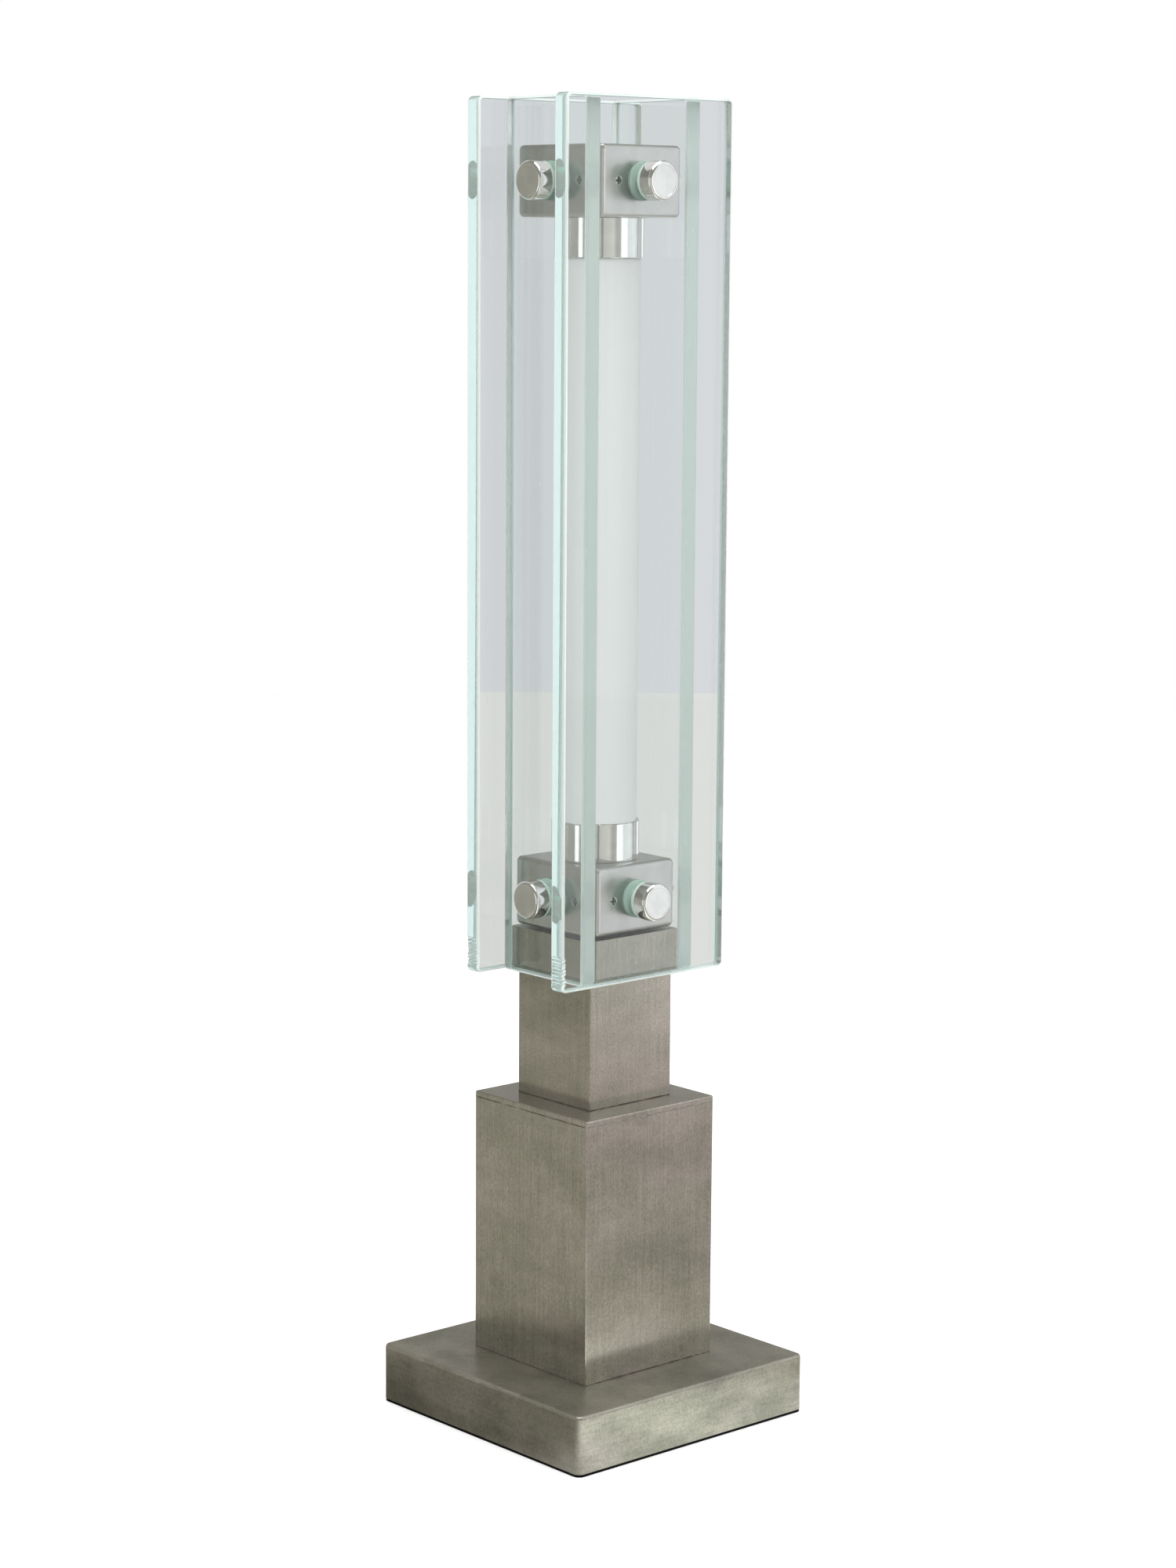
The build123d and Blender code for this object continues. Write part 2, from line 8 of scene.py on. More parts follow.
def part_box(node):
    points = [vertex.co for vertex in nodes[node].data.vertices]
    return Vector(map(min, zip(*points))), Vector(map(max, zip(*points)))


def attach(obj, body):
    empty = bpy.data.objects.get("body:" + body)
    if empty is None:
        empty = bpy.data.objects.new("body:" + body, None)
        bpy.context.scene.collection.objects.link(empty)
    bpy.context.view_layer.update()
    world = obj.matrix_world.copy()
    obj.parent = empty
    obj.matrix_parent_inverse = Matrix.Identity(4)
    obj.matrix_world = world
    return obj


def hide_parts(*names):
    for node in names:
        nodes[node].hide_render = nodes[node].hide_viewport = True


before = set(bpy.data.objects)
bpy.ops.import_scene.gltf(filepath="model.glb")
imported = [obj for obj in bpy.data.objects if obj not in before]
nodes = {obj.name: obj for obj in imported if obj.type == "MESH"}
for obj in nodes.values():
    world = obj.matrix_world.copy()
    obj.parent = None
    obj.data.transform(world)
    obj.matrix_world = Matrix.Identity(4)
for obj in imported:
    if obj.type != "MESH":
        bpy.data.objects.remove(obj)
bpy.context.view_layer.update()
scene = bpy.context.scene

MM = 0.001
LEVELS = ("lower", "upper")

# Direction (x, y) in which each side of the lamp faces.
SIDES = {"right": (1, 0), "rear": (0, 1), "left": (-1, 0), "front": (0, -1)}

# ---------------------------------------------------------------- camera

CAMERA_AZIMUTH = radians(48.361)
CAMERA_DISTANCE = 1.8627
CAMERA_HEIGHT = 0.6432
CAMERA_YAW = radians(-0.1377)
CAMERA_PITCH = radians(8.779)
CAMERA_ROLL = radians(0.365)
CAMERA_LENS = 78.705
TOWARDS_CAMERA = Vector((sin(CAMERA_AZIMUTH), -cos(CAMERA_AZIMUTH), 0))
RIGHTWARDS = Vector((cos(CAMERA_AZIMUTH), sin(CAMERA_AZIMUTH), 0))
BOUNCES = 20
GLOSSY_BOUNCES = 8


def turned(first, second, angle):
    """Two perpendicular directions turned by an angle in their own plane."""
    a = first * cos(angle) + second * sin(angle)
    b = second * cos(angle) - first * sin(angle)
    return a, b


def make_camera():
    spot = Vector((0, 0, CAMERA_HEIGHT)) + TOWARDS_CAMERA * CAMERA_DISTANCE
    ahead, right = turned(-TOWARDS_CAMERA, RIGHTWARDS, CAMERA_YAW)
    up, ahead = turned(Vector((0, 0, 1)), ahead, CAMERA_PITCH)
    right, up = turned(right, up, CAMERA_ROLL)
    data = bpy.data.cameras.new("camera")
    data.lens = CAMERA_LENS
    camera = bpy.data.objects.new("camera", data)
    scene.collection.objects.link(camera)
    matrix = camera.matrix_world.copy()
    for row in range(3):
        matrix[row][0] = right[row]
        matrix[row][1] = up[row]
        matrix[row][2] = -ahead[row]
        matrix[row][3] = spot[row]
    camera.matrix_world = matrix
    scene.camera = camera


make_camera()
scene.view_settings.view_transform = "Standard"
scene.cycles.max_bounces = BOUNCES
scene.cycles.transmission_bounces = BOUNCES
scene.cycles.transparent_max_bounces = BOUNCES
scene.cycles.glossy_bounces = GLOSSY_BOUNCES

# ---------------------------------------------------------------- node helpers


def node(tree, kind, inputs=None, **settings):
    """Adds a shader node; an input given as a socket is linked, any other value is set."""
    made = tree.nodes.new("ShaderNode" + kind)
    for key, value in settings.items():
        setattr(made, key, value)
    for key, value in (inputs or {}).items():
        if isinstance(value, bpy.types.NodeSocket):
            tree.links.new(value, made.inputs[key])
        else:
            made.inputs[key].default_value = value
    return made


def compute(tree, operation, a, b=0.0):
    return node(tree, "Math", {0: a, 1: b}, operation=operation).outputs[0]


def weighted_sum(tree, terms):
    """Sum of values, each times its own weight."""
    total = None
    for value, weight in terms:
        share = compute(tree, "MULTIPLY", value, weight)
        total = share if total is None else compute(tree, "ADD", total, share)
    return total


def ramp(tree, value, low, high, to_low=0.0, to_high=1.0):
    """Smooth step of a value between two limits."""
    limits = {"Value": value, "From Min": low, "From Max": high, "To Min": to_low, "To Max": to_high}
    return node(tree, "MapRange", limits, interpolation_type="SMOOTHSTEP").outputs["Result"]


def blend(tree, share, first, second):
    """Mix of two colours."""
    made = node(tree, "Mix", data_type="RGBA")
    for index, value in ((0, share), (6, first), (7, second)):
        if isinstance(value, bpy.types.NodeSocket):
            tree.links.new(value, made.inputs[index])
        else:
            made.inputs[index].default_value = value if index == 0 else (*value, 1)
    return made.outputs[2]


def mix_shaders(tree, share, first, second):
    mixed = node(tree, "MixShader", {0: share, 1: first.outputs[0], 2: second.outputs[0]})
    return mixed.outputs[0]


def place(tree):
    """Position in the lamp's own frame, in metres."""
    return node(tree, "TexCoord").outputs["Object"]


def along(tree, where, direction):
    """Reach of a point along a fixed direction."""
    made = node(tree, "VectorMath", {0: where, 1: Vector(direction)}, operation="DOT_PRODUCT")
    return made.outputs["Value"]


def height_of(tree, where):
    return node(tree, "SeparateXYZ", {0: where}).outputs["Z"]


def grain(tree, where, scale, detail=2.0, offset=(0, 0, 0), roughness=0.5):
    """Noise with its own scale, per metre, along each axis."""
    spread = node(tree, "Mapping", {"Vector": where, "Scale": scale, "Location": offset})
    settings = {"Vector": spread.outputs[0], "Scale": 1.0, "Detail": detail, "Roughness": roughness}
    return node(tree, "TexNoise", settings).outputs["Fac"]


def stops(tree, value, entries):
    """Colour that changes along a value from 0 to 1."""
    made = node(tree, "ValToRGB", {"Fac": value})
    marks = made.color_ramp.elements
    while len(marks) < len(entries):
        marks.new(0.5)
    for mark, (position, colour) in zip(marks, entries):
        mark.position = position
        mark.color = (*colour, 1)
    return made.outputs["Color"]


def new_material(name):
    material = bpy.data.materials.new(name)
    material.use_nodes = True
    tree = material.node_tree
    tree.nodes.clear()
    return material, tree


def finish_with(tree, surface, volume=None):
    output = node(tree, "OutputMaterial", {"Surface": surface})
    if volume is not None:
        tree.links.new(volume, output.inputs["Volume"])


# ---------------------------------------------------------------- surroundings

WHITE = (1.0, 1.0, 1.0)
SKY_LIGHT = (0.95, 0.95, 0.95)
WALL = (0.655, 0.665, 0.685)
CEILING = (0.31, 0.305, 0.27)
HIGH_WINDOW = (1.00, 1.02, 1.04)
HIGH_WINDOW_AT = (0.50, 0.68, 0.53)
AROUND_GLASS = (0.80, 0.78, 0.77)
RIGHT_OF_GLASS = (1.08, 1.08, 1.10)
FLOOR_THROUGH_GLASS = (0.72, 0.725, 0.70)

# Where one tone gives way to the next. A direction met is one unit long, and these are its heights, or its
# reaches along a fixed direction.
CEILING_EDGE = (0.12, 0.28)
HIGH_WINDOW_EDGE = (0.84, 0.94)
WALL_EDGE = (-0.75, -0.92)
WALL_TOP = (0.30, 0.16)
RIGHT_EDGE = (0.80, 0.95)

# A ray that goes through a plate, meets metal and comes back has crossed four glass surfaces. The limits lie
# half a count below.
FOUR_CROSSINGS = 3.5
ONE_REFLECTION = 0.5

# What shiny surfaces meet round the horizon: degrees to the right of the camera, and colour.
HORIZON = (
    (-180, WALL),
    (-140, (0.45, 0.45, 0.45)),
    (-112, (0.34, 0.335, 0.29)),
    (-78, (0.36, 0.35, 0.30)),
    (-63, (0.36, 0.34, 0.30)),
    (-59, (1.6, 1.6, 1.6)),
    (-50, (1.6, 1.6, 1.6)),
    (-46, (0.42, 0.40, 0.37)),
    (-20, (0.55, 0.52, 0.47)),
    (12, (0.66, 0.63, 0.58)),
    (24, (0.74, 0.71, 0.66)),
    (34, (0.42, 0.40, 0.36)),
    (46, (0.48, 0.47, 0.45)),
    (50, (1.5, 1.5, 1.5)),
    (64, (1.5, 1.5, 1.5)),
    (72, (0.90, 0.92, 0.92)),
    (98, (1.02, 1.04, 1.05)),
    (116, (0.60, 0.60, 0.60)),
    (134, (0.50, 0.50, 0.50)),
    (140, (1.2, 1.2, 1.2)),
    (150, (1.2, 1.2, 1.2)),
    (156, (0.55, 0.56, 0.57)),
    (180, WALL),
)


def horizon_colour(tree, where):
    """Colour met round the horizon in the direction of a point."""
    turn = compute(tree, "ARCTAN2", along(tree, where, RIGHTWARDS), along(tree, where, TOWARDS_CAMERA))
    turn = compute(tree, "ADD", compute(tree, "DIVIDE", turn, 2 * pi), 0.5)
    return stops(tree, turn, [((angle + 180) / 360, colour) for angle, colour in HORIZON])


def met_by_metal(tree, path):
    """One for rays that left a metal face and then passed a glass plate."""
    crossed = compute(tree, "GREATER_THAN", path["Transmission Depth"], FOUR_CROSSINGS)
    mirrored = compute(tree, "GREATER_THAN", path["Glossy Depth"], ONE_REFLECTION)
    return compute(tree, "MULTIPLY", crossed, mirrored)


def make_world():
    """A white room for the camera, plain tones for glass, and soft bands for metal."""
    world = bpy.data.worlds.new("studio")
    scene.world = world
    world.cycles.sampling_method = "NONE"
    world.use_nodes = True
    tree = world.node_tree
    tree.nodes.clear()
    where = node(tree, "TexCoord").outputs["Generated"]
    height = height_of(tree, where)
    path = node(tree, "LightPath").outputs
    metal = blend(tree, ramp(tree, height, *CEILING_EDGE), horizon_colour(tree, where), CEILING)
    window = ramp(tree, along(tree, where, HIGH_WINDOW_AT), *HIGH_WINDOW_EDGE)
    metal = blend(tree, window, metal, HIGH_WINDOW)
    behind = ramp(tree, along(tree, where, TOWARDS_CAMERA), *WALL_EDGE)
    behind = compute(tree, "MULTIPLY", behind, ramp(tree, height, *WALL_TOP))
    aside = ramp(tree, along(tree, where, RIGHTWARDS), *RIGHT_EDGE)
    glass = blend(tree, aside, AROUND_GLASS, RIGHT_OF_GLASS)
    glass = blend(tree, behind, glass, WALL)
    glass = blend(tree, met_by_metal(tree, path), glass, metal)
    colour = blend(tree, path["Is Transmission Ray"], metal, glass)
    colour = blend(tree, path["Is Diffuse Ray"], colour, SKY_LIGHT)
    colour = blend(tree, path["Is Camera Ray"], colour, WHITE)
    background = node(tree, "Background", {"Color": colour})
    node(tree, "OutputWorld", {"Surface": background.outputs[0]})


# ---------------------------------------------------------------- floor and lights

FLOOR_RADIUS = 3.2
FLOOR_SEGMENTS = 128
FLOOR_SEEN = (0.90, 0.90, 0.90)
PAPER_DARK = (0.80, 0.80, 0.79)
PAPER_LIGHT = (0.82, 0.82, 0.81)
PAPER_GRAIN = (40, 40, 40)
BANDS_ACROSS = (0.747, 0.664, 0)
BANDS_REACH = 1.8
BANDS_END = (1.15, 1.35)

# What shiny surfaces meet on the floor: metres across from left to right, and colour.
FLOOR_BANDS = (
    (-1.7, (0.36, 0.355, 0.30)),
    (-1.3, (0.36, 0.355, 0.30)),
    (-1.0, (0.44, 0.43, 0.36)),
    (-0.45, (0.44, 0.43, 0.36)),
    (-0.235, (0.43, 0.415, 0.35)),
    (-0.18, (0.08, 0.07, 0.04)),
    (-0.13, (0.13, 0.12, 0.085)),
    (-0.04, (0.21, 0.20, 0.16)),
    (0.05, (1.36, 1.44, 1.36)),
    (0.13, (1.50, 1.58, 1.50)),
    (0.19, (0.76, 0.75, 0.70)),
    (0.28, (0.60, 0.575, 0.52)),
    (0.36, (0.47, 0.455, 0.415)),
    (0.46, (0.64, 0.61, 0.57)),
    (0.60, (0.46, 0.42, 0.40)),
    (0.85, (0.80, 0.72, 0.74)),
    (1.30, (1.02, 1.04, 1.05)),
)


def floor_material():
    """Pale paper; metal and glass meet plain tones in its place."""
    material, tree = new_material("floor_paper")
    material.cycles.emission_sampling = "NONE"
    where = place(tree)
    path = node(tree, "LightPath").outputs
    across = compute(tree, "DIVIDE", along(tree, where, BANDS_ACROSS), 2 * BANDS_REACH)
    across = compute(tree, "ADD", across, 0.5)
    entries = [(metres / (2 * BANDS_REACH) + 0.5, colour) for metres, colour in FLOOR_BANDS]
    bands = stops(tree, across, entries)
    reach = node(tree, "VectorMath", {0: where}, operation="LENGTH").outputs["Value"]
    mirrored = blend(tree, ramp(tree, reach, *BANDS_END), bands, horizon_colour(tree, where))
    through = blend(tree, met_by_metal(tree, path), FLOOR_THROUGH_GLASS, mirrored)
    shown = blend(tree, path["Is Transmission Ray"], mirrored, through)
    paper = blend(tree, grain(tree, where, PAPER_GRAIN), PAPER_DARK, PAPER_LIGHT)
    paper = blend(tree, path["Is Camera Ray"], paper, FLOOR_SEEN)
    surface = node(tree, "BsdfDiffuse", {"Color": paper})
    image = node(tree, "Emission", {"Color": shown})
    finish_with(tree, mix_shaders(tree, path["Is Glossy Ray"], surface, image))
    return material


def make_floor():
    mesh = bpy.data.meshes.new("floor")
    disc = bmesh.new()
    bmesh.ops.create_circle(disc, cap_ends=True, segments=FLOOR_SEGMENTS, radius=FLOOR_RADIUS)
    disc.to_mesh(mesh)
    disc.free()
    floor = bpy.data.objects.new("floor", mesh)
    scene.collection.objects.link(floor)
    mesh.materials.append(floor_material())


def area_light(name, place_at, towards, side, power, glossy):
    """A square soft light that only shiny surfaces may see, and only if it is glossy."""
    data = bpy.data.lights.new(name, "AREA")
    data.shape = "RECTANGLE"
    data.size = side
    data.size_y = side
    data.energy = power
    lamp = bpy.data.objects.new(name, data)
    scene.collection.objects.link(lamp)
    lamp.location = place_at
    lamp.rotation_mode = "QUATERNION"
    lamp.rotation_quaternion = (Vector(towards) - Vector(place_at)).to_track_quat("-Z", "Y")
    lamp.visible_camera = False
    lamp.visible_transmission = False
    lamp.visible_glossy = glossy


make_world()
make_floor()
area_light("overhead", place_at=(0.5, 0.0, 2.8), towards=(0, 0, 0.3), side=2.4, power=45, glossy=True)
area_light("fill_right", place_at=(2.6, -0.2, 1.6), towards=(0, 0, 0.4), side=2.2, power=26, glossy=False)
area_light("fill_left", place_at=(-0.2, -2.6, 1.6), towards=(0, 0, 0.4), side=2.2, power=34, glossy=False)

# ---------------------------------------------------------------- metals

STEEL = (0.374, 0.361, 0.302)
STEEL_TINT = (0.382, 0.353, 0.312)
STEEL_METALLIC = 0.87

# Streaks per metre along x, y and z, where the brushing runs up or along, and the broad streaks' share.
UPRIGHT = (1500, 1500, 36)
LEVEL = (60, 60, 1500)
BROAD = 0.3

# How much each kind of mark lightens the steel, and what is taken off their sum.
FINE_WEIGHT = 0.44
BROAD_WEIGHT = 0.20
SPECK_WEIGHT = 0.60
MOTTLE_WEIGHT = 0.28
CLOUD_WEIGHT = 0.85
SHADE_CUT = 0.145

DARKENING_EDGE = (0.42, 0.74)
LOW_DARKENING_RISE = 16 * MM
LOW_DARKENING_AT_BOTTOM = 0.14
CLOUD_EDGE = (0.35, 0.65)
ROUGHNESS_SPREAD = 0.10


def steel_patches_and_low_darkening(tree, where, darkening):
    """Share of light that is left under random dark patches; the steel also gets darker towards the bottom.
    """
    patches = grain(tree, where, scale=(24, 24, 50), detail=5.0, offset=(7, 2, 5), roughness=0.6)
    # Darker towards the bottom, over the lowest 16 mm of height.
    low_down = ramp(tree, height_of(tree, where), LOW_DARKENING_RISE, 0.0, 0.0, LOW_DARKENING_AT_BOTTOM)
    dimmed = ramp(tree, compute(tree, "ADD", patches, low_down), *DARKENING_EDGE)
    return compute(tree, "SUBTRACT", 1.0, compute(tree, "MULTIPLY", dimmed, darkening))


def brushed_steel(name, streak, roughness, turn, darkening):
    """Worn brushed stainless steel. The brushing runs along the axis in which streak is small."""
    material, tree = new_material(name)
    where = place(tree)
    fine = grain(tree, where, scale=streak)
    broad = grain(tree, where, scale=[size * BROAD for size in streak], offset=(3, 1, 2))
    speck = grain(tree, where, scale=(900, 900, 700), detail=1.0, offset=(2, 5, 1))
    cloud = grain(tree, where, scale=(14, 14, 26), detail=4.0, offset=(0.4, 1.3, 0.2), roughness=0.55)
    mottle = grain(tree, where, scale=(90, 90, 120), detail=4.0, offset=(1, 2, 3), roughness=0.6)
    base = blend(tree, ramp(tree, cloud, *CLOUD_EDGE), STEEL, STEEL_TINT)
    shade = weighted_sum(tree, ((fine, FINE_WEIGHT), (broad, BROAD_WEIGHT), (speck, SPECK_WEIGHT),
                                (mottle, MOTTLE_WEIGHT), (cloud, CLOUD_WEIGHT)))
    shade = compute(tree, "SUBTRACT", shade, SHADE_CUT)
    shade = compute(tree, "MULTIPLY", shade, steel_patches_and_low_darkening(tree, where, darkening))
    shaded = node(tree, "VectorMath", {0: base, "Scale": shade}, operation="SCALE").outputs[0]
    spread = compute(tree, "MULTIPLY", cloud, ROUGHNESS_SPREAD)
    rough = compute(tree, "ADD", spread, roughness - ROUGHNESS_SPREAD / 2)
    tangent = node(tree, "Tangent", direction_type="RADIAL", axis="Z")
    shader = node(tree, "BsdfPrincipled", {
        "Base Color": shaded, "Metallic": STEEL_METALLIC, "Roughness": rough, "Anisotropic": turn,
        "Tangent": tangent.outputs[0],
    })
    finish_with(tree, shader.outputs[0])
    return material


DULLED = 0.88
DULL_RANGE = (0.3, 0.7)
DULL_WEIGHT = 0.7
SMUDGE_RANGE = (0.40, 0.75)


def polished_metal(name, colour, roughness, smudge=0.06, marks=0.3):
    """Plated or polished metal with faint smudges and very fine turning marks."""
    material, tree = new_material(name)
    where = place(tree)
    cloud = grain(tree, where, scale=(120, 120, 120), detail=3.0)
    hair = grain(tree, where, scale=(1400, 1400, 1400), detail=1.0, offset=(2, 0, 1))
    lightness = ramp(tree, cloud, *DULL_RANGE, 0.0, DULL_WEIGHT)
    lightness = compute(tree, "ADD", lightness, compute(tree, "MULTIPLY", hair, marks))
    dull = [channel * DULLED for channel in colour]
    tone = blend(tree, lightness, dull, colour)
    smudged = compute(tree, "MULTIPLY", ramp(tree, cloud, *SMUDGE_RANGE), smudge)
    rough = compute(tree, "ADD", roughness, smudged)
    shader = node(tree, "BsdfPrincipled", {"Base Color": tone, "Metallic": 1.0, "Roughness": rough})
    finish_with(tree, shader.outputs[0])
    return material


def plain_solid(name, colour, roughness, metallic=0.0, scale=400, depth=0.03 * MM, variation=0.15,
                gloss=0.5):
    """Moulded, cast or machined stock with a fine surface texture."""
    material, tree = new_material(name)
    where = place(tree)
    texture = grain(tree, where, scale=(scale, scale, scale), detail=4.0)
    dark = [channel * (1 - variation) for channel in colour]
    tone = blend(tree, texture, dark, colour)
    spread = compute(tree, "MULTIPLY", texture, ROUGHNESS_SPREAD)
    rough = compute(tree, "ADD", roughness - ROUGHNESS_SPREAD / 2, spread)
    bump = node(tree, "Bump", {"Strength": 0.4, "Distance": depth, "Height": texture})
    shader = node(tree, "BsdfPrincipled", {
        "Base Color": tone, "Metallic": metallic, "Roughness": rough, "Normal": bump.outputs[0],
        "Specular IOR Level": gloss,
    })
    finish_with(tree, shader.outputs[0])
    return material


# ---------------------------------------------------------------- glass and soft rings

GLASS_IOR = 1.52
PANE_TINT = (0.72, 0.935, 0.915)
PANE_DENSITY = 9.0
SHADOW_TINT = (0.96, 0.975, 0.97)
SCRATCH_WIDTH = 0.006
SCRATCH_PATCHES = (0.62, 0.70)


def absorption(tree, tint, density):
    return node(tree, "VolumeAbsorption", {"Color": (*tint, 1), "Density": density}).outputs[0]


def clear_glass(name, tint, density, scratch_roughness):
    """Clear glass whose body takes up a little red light; faint hairline scratches on its faces."""
    material, tree = new_material(name)
    where = place(tree)
    lines = grain(tree, where, scale=(600, 600, 18), detail=1.0)
    patches = grain(tree, where, scale=(120, 120, 60), detail=1.0, offset=(5, 1, 4))
    off_line = compute(tree, "ABSOLUTE", compute(tree, "SUBTRACT", lines, 0.5))
    scratch = compute(tree, "MULTIPLY", ramp(tree, off_line, SCRATCH_WIDTH, 0.0),
                      ramp(tree, patches, *SCRATCH_PATCHES))
    rough = compute(tree, "MULTIPLY", scratch, scratch_roughness)
    shader = node(tree, "BsdfPrincipled", {
        "Base Color": (1, 1, 1, 1), "Roughness": rough, "IOR": GLASS_IOR, "Transmission Weight": 1.0,
    })
    shadow = node(tree, "BsdfTransparent", {"Color": (*SHADOW_TINT, 1)})
    in_shadow = node(tree, "LightPath").outputs["Is Shadow Ray"]
    finish_with(tree, mix_shaders(tree, in_shadow, shader, shadow), absorption(tree, tint, density))
    return material


def ground_glass(name):
    """Matt ground edge of a glass plate."""
    material, tree = new_material(name)
    grit = grain(tree, place(tree), scale=(1800, 1800, 1800))
    tone = blend(tree, grit, (0.80, 0.90, 0.86), (0.92, 0.98, 0.955))
    shader = node(tree, "BsdfPrincipled", {
        "Base Color": tone, "Roughness": 0.5, "IOR": GLASS_IOR, "Transmission Weight": 0.55,
    })
    finish_with(tree, shader.outputs[0])
    return material


def clouded_glass(name, milkiness):
    """Glass of the polished plate ends: a faint milky haze over clear glass."""
    material, tree = new_material(name)
    haze = grain(tree, place(tree), scale=(500, 500, 60))
    tone = blend(tree, haze, (0.88, 0.96, 0.93), (0.95, 1.0, 0.985))
    clear = node(tree, "BsdfPrincipled", {
        "Base Color": (1, 1, 1, 1), "Roughness": 0.04, "IOR": GLASS_IOR, "Transmission Weight": 1.0,
    })
    milky = node(tree, "BsdfPrincipled", {"Base Color": tone, "Roughness": 0.25, "IOR": GLASS_IOR})
    mixed = mix_shaders(tree, milkiness, clear, milky)
    finish_with(tree, mixed, absorption(tree, PANE_TINT, PANE_DENSITY))
    return material


def translucent(tree, tone, roughness, ior, share):
    """A soft sheen over a body that lets a share of the light through."""
    body = node(tree, "BsdfPrincipled", {"Base Color": tone, "Roughness": roughness, "IOR": ior})
    through = node(tree, "BsdfTranslucent", {"Color": tone})
    finish_with(tree, mix_shaders(tree, share, body, through))


def frosted_glass(name):
    """White frosted tube with faint drawn streaks."""
    material, tree = new_material(name)
    where = place(tree)
    streak = grain(tree, where, scale=(350, 350, 3))
    cloud = grain(tree, where, scale=(30, 30, 12))
    tone = blend(tree, streak, (0.92, 0.91, 0.905), (0.99, 0.98, 0.975))
    tone = blend(tree, compute(tree, "MULTIPLY", cloud, 0.3), tone, (0.93, 0.92, 0.915))
    rough = compute(tree, "ADD", 0.34, compute(tree, "MULTIPLY", streak, 0.12))
    translucent(tree, tone, rough, ior=1.5, share=0.12)
    return material


def soft_ring(name, dark, light):
    """Translucent pale green washer or gasket."""
    material, tree = new_material(name)
    cloud = grain(tree, place(tree), scale=(300, 300, 300), detail=3.0)
    translucent(tree, blend(tree, cloud, dark, light), 0.3, ior=1.45, share=0.35)
    return material


# ---------------------------------------------------------------- finishes

foot_steel = brushed_steel("brushed_foot", LEVEL, 0.37, turn=0.3, darkening=0.30)
tube_steel = brushed_steel("brushed_tube", UPRIGHT, 0.19, turn=0.9, darkening=0.08)
chrome = polished_metal("chrome", (0.86, 0.87, 0.86), 0.045)
pane_glass = clear_glass("pane_glass", PANE_TINT, PANE_DENSITY, scratch_roughness=0.35)
pane_arris = ground_glass("pane_arris")
wide_end = clouded_glass("wide_plate_end", milkiness=0.20)
narrow_end = clouded_glass("narrow_plate_end", milkiness=0.55)
washer_soft = soft_ring("soft_washer", (0.66, 0.82, 0.73), (0.76, 0.90, 0.82))
gasket_rubber = soft_ring("gasket_rubber", (0.68, 0.86, 0.76), (0.78, 0.93, 0.85))
pad_felt = plain_solid("pad", (0.004, 0.004, 0.004), 0.95, scale=900, gloss=0.08)
# Near-black paint inside the screws' cross recesses: painted shade, standing for the shade that falls in
# them.
recess_painted_shade = plain_solid("screw_recess_painted_shade", (0.012, 0.012, 0.011), 0.6)
joint_dark = plain_solid("joint_shadow", (0.045, 0.040, 0.030), 0.7)
seam_steel = plain_solid("seam_steel", (0.52, 0.50, 0.45), 0.35, metallic=1.0, scale=220,
                         depth=0.1 * MM, variation=0.9)

# Finish of each of the record's material slots.
FINISHES = {
    "brushed_foot": foot_steel,
    "satin_block": polished_metal("satin_block", (0.70, 0.69, 0.675), 0.29, smudge=0.0, marks=0.0),
    "chrome": chrome,
    "clear_glass": pane_glass,
    "frosted_glass": frosted_glass("frosted_tube"),
    "bulb_glass": clear_glass("bulb_clear", (0.97, 0.98, 0.98), 2.0, scratch_roughness=0.1),
    "soft_washer": washer_soft,
    "gasket": gasket_rubber,
    "nylon": plain_solid("nylon", (0.80, 0.80, 0.76), 0.45),
    "pad": pad_felt,
    "black_plastic": plain_solid("black_plastic", (0.025, 0.025, 0.026), 0.42),
    "lead_sheath": plain_solid("lead_sheath", (0.04, 0.04, 0.042), 0.45),
    "cast_iron": plain_solid("cast_iron", (0.13, 0.13, 0.13), 0.75, scale=250, depth=0.2 * MM),
    "aluminium": plain_solid("aluminium", (0.72, 0.72, 0.73), 0.35, metallic=1.0),
    "zinc_steel": plain_solid("zinc_steel", (0.60, 0.60, 0.58), 0.38, metallic=1.0),
    "brass": plain_solid("brass", (0.72, 0.53, 0.24), 0.28, metallic=1.0),
    "nickel": polished_metal("nickel", (0.70, 0.68, 0.63), 0.12),
}
UPRIGHT_NODES = ("pedestal_tube", "post_tube", "pedestal_top_plate")

for name, part in nodes.items():
    slot_name = part.data.materials[0].name.split(".")[0]
    part.data.materials[0] = tube_steel if name in UPRIGHT_NODES else FINISHES[slot_name]

# ---------------------------------------------------------------- mesh helpers

CORNER_STEPS = 6
RING_STEPS = 64
PATH_STEP = 1.2 * MM

# Where a rounded edge has its middle point, as a share of its radius from either face.
ROUNDED = 0.3


def add_piece(name, mesh, material, slot_name, *stands_for):
    """Makes a piece of a mesh, riding on the lamp, in place of the CAD nodes that it stands for."""
    made = bpy.data.objects.new(name, mesh)
    scene.collection.objects.link(made)
    mesh.materials.append(material)
    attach(made, "lamp")
    if stands_for:
        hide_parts(*stands_for)
    return made


def mesh_of(name, shape):
    """Mesh of a finished shape, with every face turned outwards."""
    bmesh.ops.recalc_face_normals(shape, faces=shape.faces[:])
    mesh = bpy.data.meshes.new(name)
    shape.to_mesh(mesh)
    shape.free()
    return mesh


def smooth_mesh(name, shape, angle=30):
    """Mesh of a finished shape, smooth except across edges sharper than an angle."""
    mesh = mesh_of(name, shape)
    mesh.polygons.foreach_set("use_smooth", [True] * len(mesh.polygons))
    mesh.set_sharp_from_angle(angle=radians(angle))
    return mesh


